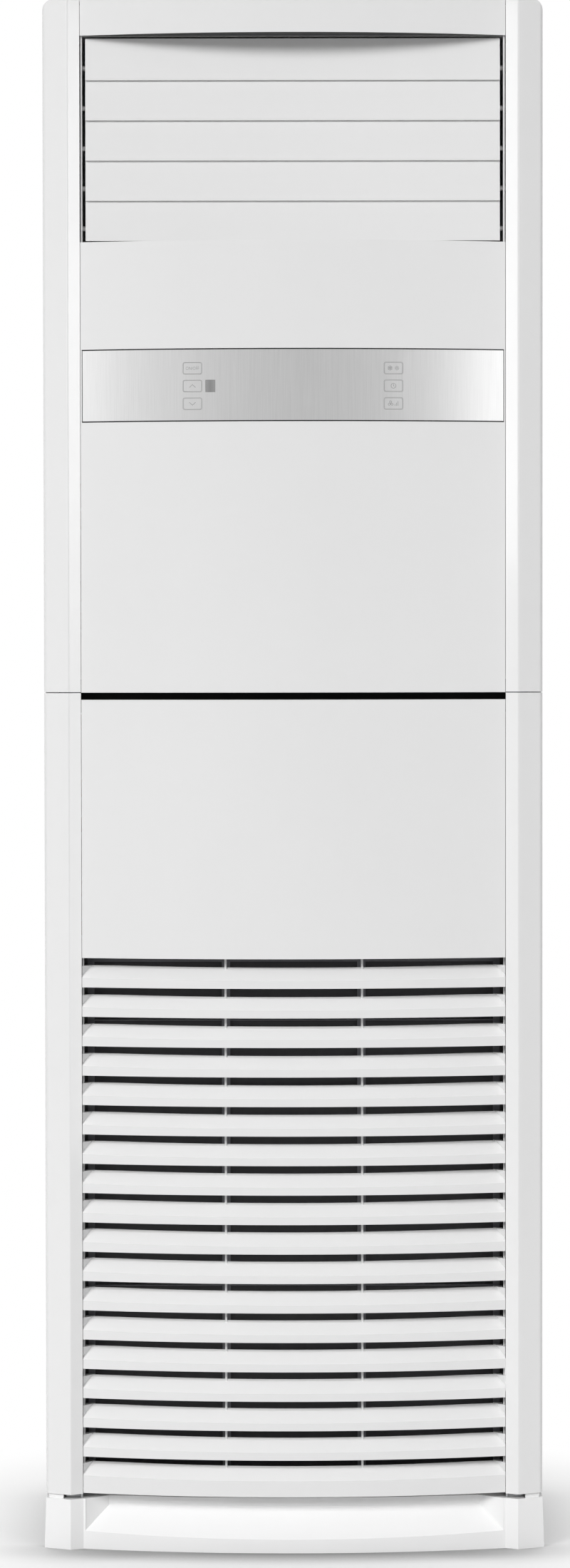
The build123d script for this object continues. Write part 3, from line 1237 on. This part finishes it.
def coil_plane():
    """Plane of the coil: x across, y up its slope, z through its thickness."""
    lean = math.radians(COIL_LEAN)
    return Plane(
        origin=(0, COIL_FOOT_Y, COIL_FOOT_Z),
        x_dir=(1, 0, 0),
        z_dir=(0, -math.cos(lean), math.sin(lean)),
    )


def tube_places():
    """Tube centres in the coil plane, as distance up the slope and through the thickness."""
    pitch = COIL_LENGTH / TUBES_PER_ROW
    rows = [(row + 0.5) * COIL_THICKNESS / TUBE_ROWS - COIL_THICKNESS / 2 for row in range(TUBE_ROWS)]
    return [[((i + 0.5) * pitch, depth) for i in range(TUBES_PER_ROW)] for depth in rows]


def coil_slab(half_width_from, half_width_to, radius):
    """A slab of the coil between two x values, with tube holes through it."""
    width = half_width_to - half_width_from
    slab = Pos((half_width_from + half_width_to) / 2, COIL_LENGTH / 2, 0) * Box(
        width, COIL_LENGTH, COIL_THICKNESS
    )
    for row in tube_places():
        for up, depth in row:
            slab -= rod((half_width_from, up, depth), (1, 0, 0), radius, width)
    return coil_plane() * slab


def make_coil_fins():
    """Upright aluminium fins along the coil, each pierced for every tube."""
    pitch = (2 * COIL_HALF_WIDTH - FIN_THICKNESS) / (FIN_COUNT - 1)
    fin = coil_slab(-COIL_HALF_WIDTH, FIN_THICKNESS - COIL_HALF_WIDTH, TUBE_RADIUS)
    return Compound([Pos(i * pitch, 0, 0) * fin for i in range(FIN_COUNT)])


def make_coil_plates():
    """Steel end plates on both ends of the fins."""
    right = coil_slab(COIL_HALF_WIDTH, COIL_HALF_WIDTH + PLATE_THICKNESS, TUBE_RADIUS)
    return both_sides(right)


def make_hairpin(up, depth, radius):
    """Two tubes across the coil, joined by a return bend on the left, as a solid bar."""
    pitch = COIL_LENGTH / TUBES_PER_ROW
    reach = COIL_HALF_WIDTH + 2 * PLATE_THICKNESS
    bar = rod((-reach, up, depth), (1, 0, 0), radius, 2 * reach)
    bar += rod((-reach, up + pitch, depth), (1, 0, 0), radius, 2 * reach)
    start = Plane(origin=(-reach, up, depth), x_dir=(0, 1, 0), z_dir=(-1, 0, 0))
    bend_axis = Axis((-reach, up + pitch / 2, depth), (0, 0, 1))
    return bar + revolve(start * Circle(radius), axis=bend_axis, revolution_arc=-180)


def make_coil_tubes():
    """Copper hairpins through the fins."""
    hairpins = []
    for row in tube_places():
        for up, depth in row[::2]:
            hairpins.append(
                make_hairpin(up, depth, TUBE_RADIUS) - make_hairpin(up, depth, TUBE_RADIUS - TUBE_WALL)
            )
    return Compound([coil_plane() * hairpin for hairpin in hairpins])


def make_drain_pan():
    """Tray under the coil, with a spigot that leaves through the back."""
    half = COIL_HALF_WIDTH + 2 * PAN_WALL
    z_span = (PAN_BOTTOM_Z, PAN_BOTTOM_Z + PAN_HEIGHT)
    pan = block((-half, half), (PAN_FRONT_Y, PAN_BACK_Y), z_span)
    pan -= block(
        (-half + PAN_WALL, half - PAN_WALL),
        (PAN_FRONT_Y + PAN_WALL, PAN_BACK_Y - PAN_WALL),
        (PAN_BOTTOM_Z + PAN_WALL, z_span[1]),
    )
    start = (DRAIN_X, PAN_BACK_Y - PAN_WALL, DRAIN_Z)
    length = STUB_END_Y - start[1]
    pan += rod(start, (0, 1, 0), DRAIN_RADIUS, length)
    return pan - rod(start, (0, 1, 0), DRAIN_RADIUS - PAN_WALL, length)


def make_pipe(y, z, radius):
    """A refrigerant pipe: down beside the coil's right end, then back out of the port."""
    top = COIL_FOOT_Z + PIPE_RISE
    path = FilletPolyline((PORT_X, y, top), (PORT_X, y, z), (PORT_X, STUB_END_Y, z), radius=PIPE_BEND)
    start = Plane(origin=path @ 0, z_dir=path % 0)
    return sweep(start * (Circle(radius) - Circle(radius - TUBE_WALL)), path=path)


# ---------------------------------------------------------------- electrical box

def make_electrical_box():
    """Folded steel tray, open at the front, with a cable notch in its floor."""
    x_span = (-BOX_HALF_WIDTH, BOX_HALF_WIDTH)
    box = block(x_span, (BOX_FRONT_Y, BOX_BACK_Y), (BOX_BOTTOM_Z, BOX_TOP_Z))
    box -= block(
        (x_span[0] + BOX_WALL, x_span[1] - BOX_WALL),
        (BOX_FRONT_Y, BOX_BACK_Y - BOX_WALL),
        (BOX_BOTTOM_Z + BOX_WALL, BOX_TOP_Z - BOX_WALL),
    )
    notch_centre = (-BOX_HALF_WIDTH + 3 * CABLE_HOLE_RADIUS, (BOX_FRONT_Y + BOX_BACK_Y) / 2, 0)
    return box - rod(notch_centre, (0, 0, 1), CABLE_HOLE_RADIUS, BOX_BOTTOM_Z + BOX_WALL)


def make_electrical_cover():
    """Flat steel lid on the electrical box."""
    x_span = (-BOX_HALF_WIDTH, BOX_HALF_WIDTH)
    return block(x_span, (BOX_FRONT_Y - BOX_WALL, BOX_FRONT_Y), (BOX_BOTTOM_Z, BOX_TOP_Z))


def make_main_board():
    """Main circuit board with its relays, on four standoffs."""
    back = BOX_BACK_Y - BOX_WALL
    half = BOX_HALF_WIDTH / 2
    z_span = (BOX_BOTTOM_Z + 4 * STANDOFF, BOX_TOP_Z - 4 * STANDOFF)
    front = back - STANDOFF
    board = block((-half / 2, 3 * half / 2), (front - BOARD_THICKNESS, front), z_span)
    for x in (-half / 2 + STANDOFF, 3 * half / 2 - STANDOFF):
        for z in (z_span[0] + STANDOFF, z_span[1] - STANDOFF):
            board += rod((x, front, z), (0, 1, 0), STANDOFF / 2, STANDOFF)
    for i in range(RELAY_COUNT):
        z = z_span[0] + 4 * STANDOFF + i * RELAY_PITCH
        y_span = (front - BOARD_THICKNESS - RELAY_SIZE, front - BOARD_THICKNESS)
        board += block((half, half + RELAY_SIZE), y_span, (z, z + RELAY_SIZE))
    return board


def make_terminal_block():
    """Screw terminals in a row at the box's lower left."""
    back = BOX_BACK_Y - BOX_WALL
    x0 = -BOX_HALF_WIDTH + 2 * STANDOFF
    z_span = (BOX_BOTTOM_Z + 12 * STANDOFF, BOX_BOTTOM_Z + 12 * STANDOFF + TERMINAL_HEIGHT)
    body = block((x0, x0 + TERMINAL_COUNT * TERMINAL_PITCH), (back - 2 * STANDOFF, back), z_span)
    for i in range(TERMINAL_COUNT):
        x = x0 + (i + 0.5) * TERMINAL_PITCH
        z = (z_span[0] + z_span[1]) / 2
        body += rod((x, back - 2 * STANDOFF, z), (0, -1, 0), TERMINAL_PITCH / 3, STANDOFF / 3)
    return body


# ---------------------------------------------------------------- write every sub-part

def write_shell():
    """Base, sides, back, top and front panels."""
    save("base_plinth", make_base_plinth())
    save("base_pan", make_base_pan())
    save("levelling_feet", make_feet())
    post_bottom = BASE_HEIGHT + POST_GAP
    lower = make_pillar(post_bottom, MIDDLE_PANEL_BOTTOM_Z - PILLAR_SEAM / 2)
    upper = make_pillar(MIDDLE_PANEL_BOTTOM_Z + PILLAR_SEAM / 2, CABINET_HEIGHT) & envelope(0.0)
    save("right_pillar_lower", lower)
    save("left_pillar_lower", mirror(lower, Plane.YZ))
    save("right_pillar_upper", upper)
    save("left_pillar_upper", mirror(upper, Plane.YZ))
    side = make_side_panel()
    save("right_side_panel", side)
    save("left_side_panel", mirror(side, Plane.YZ))
    save("back_panel", make_back_panel())
    save("cabinet_screws", make_screws())
    save("cable_grommet", make_cable_grommet())
    save("wall_bracket", make_wall_bracket())
    save("top_cover", make_top_cover())
    save("lintel_panel", make_lintel_panel())
    save("middle_panel", make_middle_panel())
    save("crossmember", make_crossmember())


def write_outlet():
    """Outlet frame and duct, blades, vanes and what drives them."""
    save("outlet_frame", make_outlet_frame())
    save("outlet_duct", make_outlet_duct())
    for i in range(BLADE_COUNT):
        save(f"louvre_blade_{i + 1}", make_blade(i))
    save("louvre_link", make_louvre_link())
    for i in range(VANE_COUNT):
        save(f"vane_{i + 1}", make_vane(i))
    save("vane_link", make_vane_link())
    save("stepper_motors", make_louvre_motor() + make_vane_motor())


def write_controls():
    """Display strip, keys and their board."""
    save("display_strip", make_display_strip())
    save("strip_carrier", make_strip_carrier())
    save("receiver_window", make_receiver_window())
    save("display_board", make_display_board())
    names = ("power_key", "up_key", "down_key", "mode_key", "timer_key", "function_key")
    for name, place in zip(names, key_places()):
        save(name, make_key(*place))


def write_intake():
    """Intake panel, its pivot brackets and the filter."""
    save("intake_panel", make_intake_panel())
    bracket = make_pivot_bracket()
    save("pivot_brackets", both_sides(bracket))
    save("air_filter", make_filter())


def write_insides():
    """Blower, coil, pipes and electrical box."""
    save("scroll_housing", make_scroll_housing())
    save("inlet_ring", make_inlet_ring())
    save("fan_impeller", make_impeller())
    save("motor_shaft", make_motor_shaft())
    save("fan_motor", make_fan_motor())
    save("motor_mount", make_motor_mount())
    save("coil_fins", make_coil_fins())
    save("coil_plates", make_coil_plates())
    save("coil_tubes", make_coil_tubes())
    save("drain_pan", make_drain_pan())
    gas = make_pipe(COIL_FOOT_Y, PORT_Z + PIPE_RISE, GAS_RADIUS)
    liquid = make_pipe(COIL_FOOT_Y - PIPE_SPACING, PORT_Z - PIPE_DROP, LIQUID_RADIUS)
    save("refrigerant_pipes", gas + liquid)
    save("electrical_box", make_electrical_box())
    save("electrical_cover", make_electrical_cover())
    save("main_board", make_main_board())
    save("terminal_block", make_terminal_block())


write_shell()
write_outlet()
write_controls()
write_intake()
write_insides()
